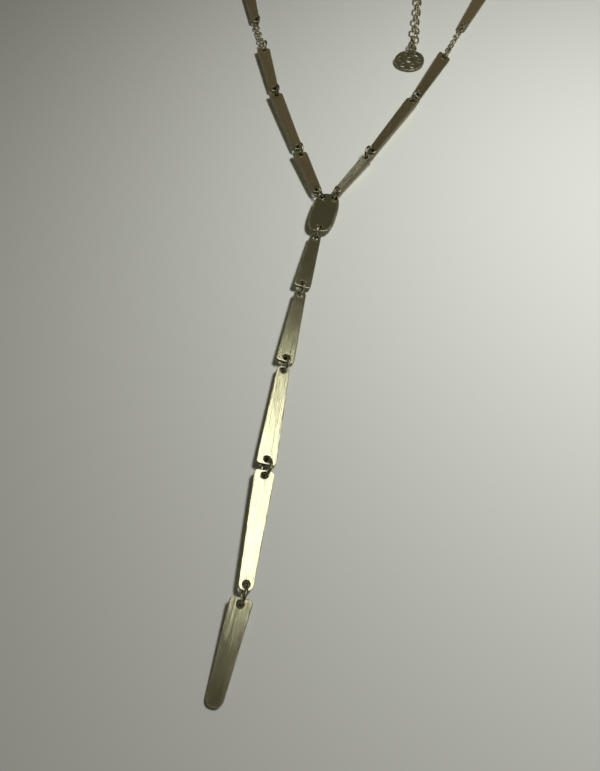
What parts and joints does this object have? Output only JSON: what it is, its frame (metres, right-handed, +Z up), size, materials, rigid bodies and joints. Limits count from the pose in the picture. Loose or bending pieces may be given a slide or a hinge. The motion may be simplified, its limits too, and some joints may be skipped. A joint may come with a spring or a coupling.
{
  "type": "y necklace",
  "caption": "Y necklace of slim tapered plates joined by jump rings around a flat oval connector, with fine cable chain behind, a ring clasp and an extender with a pierced end charm.",
  "frame": {"origin": "middle of the flat back of the oval connector, with the necklace lying flat", "axes": "+Y from the connector towards the clasp, +Z up out of the plates' faces, +X to the right of the neck opening seen from above"},
  "size_m": [0.0933, 0.2767, 0.0057],
  "materials": {
    "plates": "brushed, pale gold plated",
    "rings": "polished, pale gold plated",
    "chain": "polished, pale gold plated"
  },
  "bodies": {
    "root": {"connector": "plates", "drop_bar_1": "plates", "drop_bar_2": "plates", "drop_bar_3": "plates", "drop_bar_4": "plates", "drop_bar_5": "plates", "left_bar_1": "plates", "left_bar_2": "plates", "left_bar_3": "plates", "left_bar_4": "plates", "right_bar_1": "plates", "right_bar_2": "plates", "right_bar_3": "plates", "right_bar_4": "plates", "drop_ring_1": "rings", "drop_ring_2": "rings", "drop_ring_3": "rings", "drop_ring_4": "rings", "drop_ring_5": "rings", "left_ring_1": "rings", "left_ring_2": "rings", "left_ring_3": "rings", "left_ring_4": "rings", "left_ring_5": "rings", "left_ring_6": "rings", "right_ring_1": "rings", "right_ring_2": "rings", "right_ring_3": "rings", "right_ring_4": "rings", "right_ring_5": "rings", "right_ring_6": "rings", "end_ring": "rings", "charm_ring": "rings", "ring_clasp": "rings", "left_front_chain": "chain", "right_front_chain": "chain", "left_back_chain": "chain", "right_back_chain": "chain", "extender_chain": "chain", "end_charm": "plates"}
  },
  "joints": []
}
